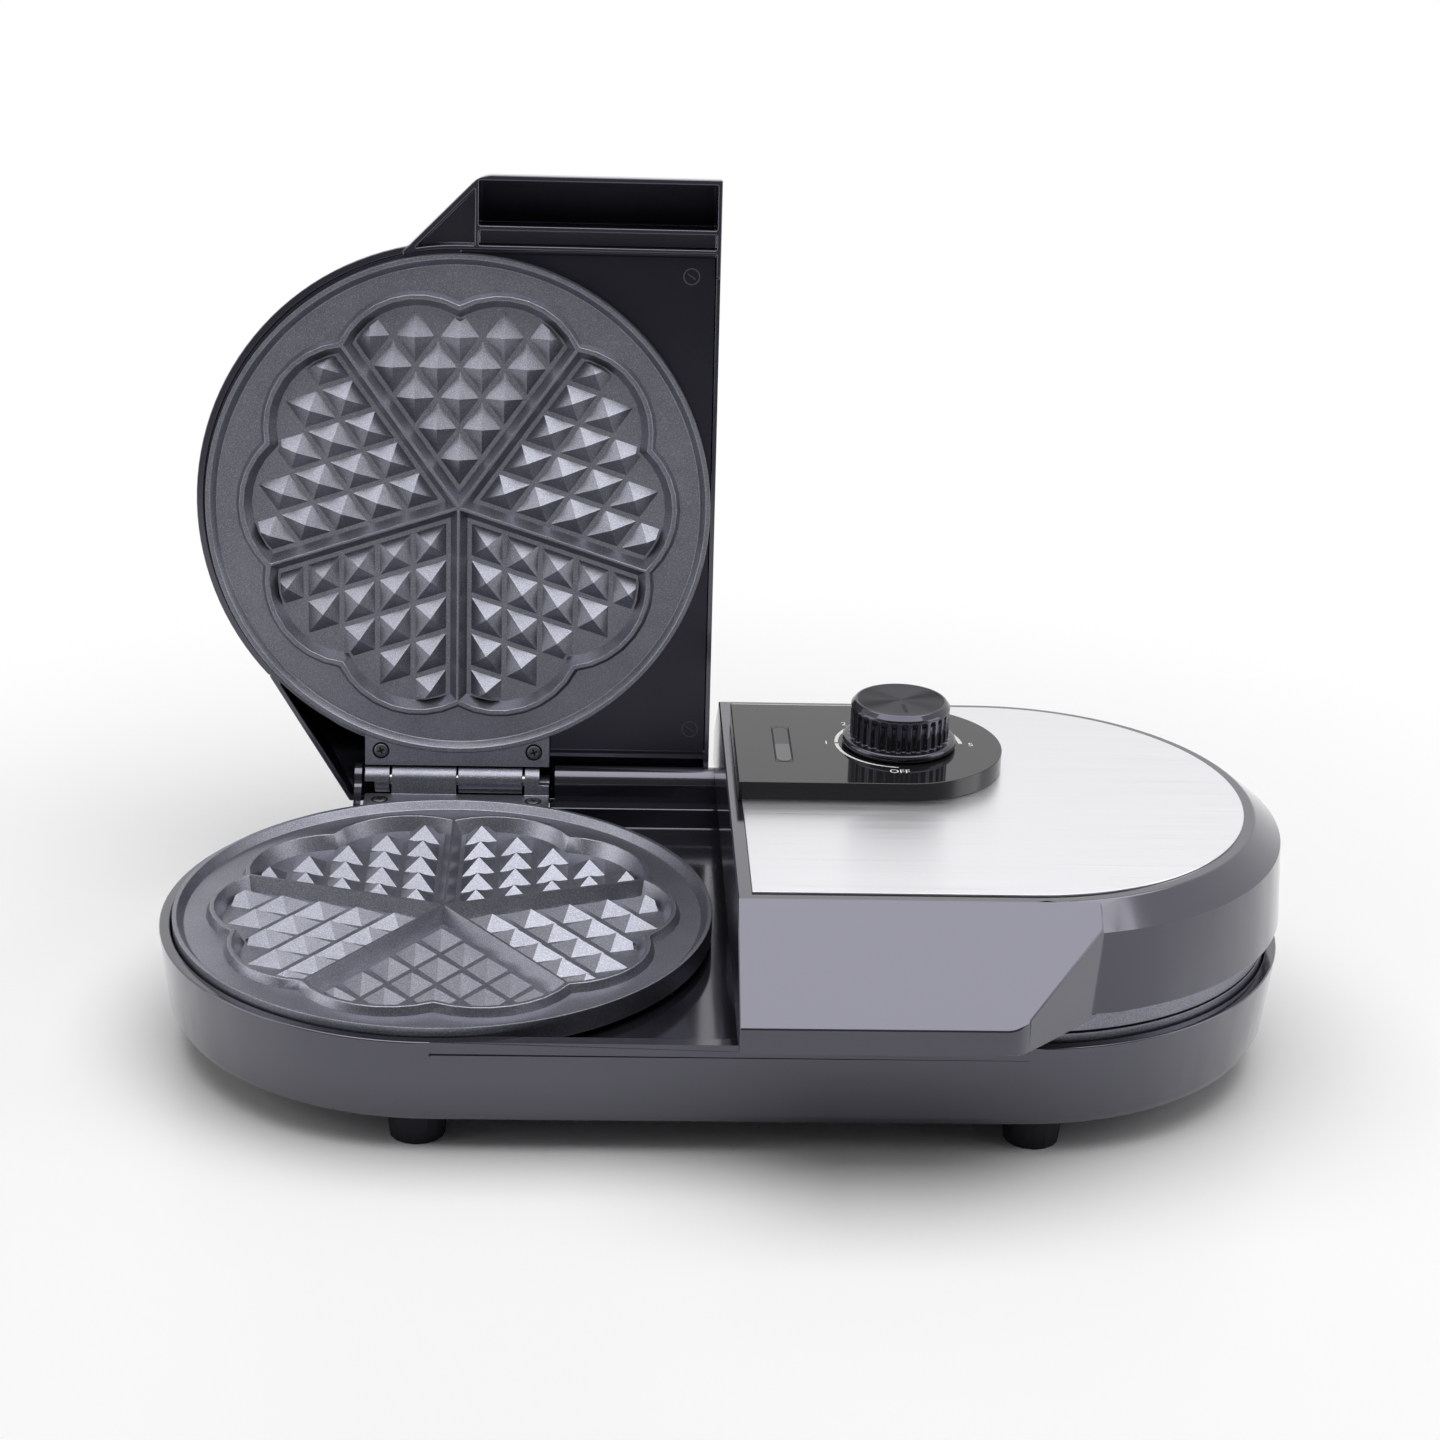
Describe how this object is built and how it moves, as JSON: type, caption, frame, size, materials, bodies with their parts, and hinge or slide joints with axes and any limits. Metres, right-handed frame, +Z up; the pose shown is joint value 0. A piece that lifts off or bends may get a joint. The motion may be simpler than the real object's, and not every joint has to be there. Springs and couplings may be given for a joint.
{
  "type": "twin heart waffle maker",
  "caption": "Twin waffle maker: side by side irons with hinged steel-topped lids, hand grips, dial knobs and heart-patterned cast plates on one long round-ended base.",
  "frame": {"origin": "on the standing surface, under the middle of the whole object as it stands with its left lid open and its right lid shut", "axes": "+X to the right as seen from the front, along the row of irons; +Y to the rear, towards the hinges; +Z up"},
  "size_m": [0.4326, 0.3378, 0.3031],
  "materials": {
    "housing": "charcoal moulded plastic, satin gloss",
    "steel_cover": "brushed stainless steel sheet",
    "plate_coating": "cast aluminium with a dark speckled non-stick coating",
    "console_plastic": "black plastic, high gloss",
    "knob_plastic": "black plastic knob, satin gloss",
    "lens_plastic": "smoked pilot light windows, unlit",
    "liner_plastic": "black moulded plastic",
    "underside_sheet": "black painted steel sheet",
    "foot_rubber": "black rubber",
    "bright_steel": "plain steel",
    "heater_tube": "heating element sheath, oxidised steel",
    "shield_sheet": "aluminium sheet",
    "inner_plastic": "heat-proof moulded plastic"
  },
  "bodies": {
    "base": {"base_shell": "housing", "base_panel": "underside_sheet", "feet": "foot_rubber", "terminal_block": "inner_plastic", "hinge_pins": "bright_steel", "lower_plates": "plate_coating", "lower_heater_left": "heater_tube", "lower_heater_right": "heater_tube", "lower_shield_left": "shield_sheet", "lower_shield_right": "shield_sheet"},
    "left_lid": {"lid_shell_left": "housing", "lid_cover_left": "steel_cover", "lid_liner_left": "liner_plastic", "upper_plate_left": "plate_coating", "upper_heater_left": "heater_tube", "upper_shield_left": "shield_sheet", "console_left": "console_plastic", "lens_left": "lens_plastic", "switch_left": "inner_plastic"},
    "right_lid": {"lid_shell_right": "housing", "lid_cover_right": "steel_cover", "lid_liner_right": "liner_plastic", "upper_plate_right": "plate_coating", "upper_heater_right": "heater_tube", "upper_shield_right": "shield_sheet", "console_right": "console_plastic", "lens_right": "lens_plastic", "switch_right": "inner_plastic"},
    "left_knob": {"knob_left": "knob_plastic"},
    "right_knob": {"knob_right": "knob_plastic"}
  },
  "joints": [
    {"name": "left_lid_hinge", "type": "hinge", "parent": "base", "child": "left_lid", "pos_m": [0, 0.08313, 0.0541], "axis": [-1, 0, 0], "range_deg": [-98, 0]},
    {"name": "right_lid_hinge", "type": "hinge", "parent": "base", "child": "right_lid", "pos_m": [0, 0.08313, 0.0541], "axis": [-1, 0, 0], "range_deg": [0, 98]},
    {"name": "left_knob_turn", "type": "hinge", "parent": "left_lid", "child": "left_knob", "pos_m": [-0.0693, 0.14812, 0.1307], "axis": [0, -0.9903, 0.1392], "range_deg": [0, 270]},
    {"name": "right_knob_turn", "type": "hinge", "parent": "right_lid", "child": "right_knob", "pos_m": [0.0693, -0.00177, 0.1078], "axis": [0, 0, -1], "range_deg": [0, 270]}
  ]
}
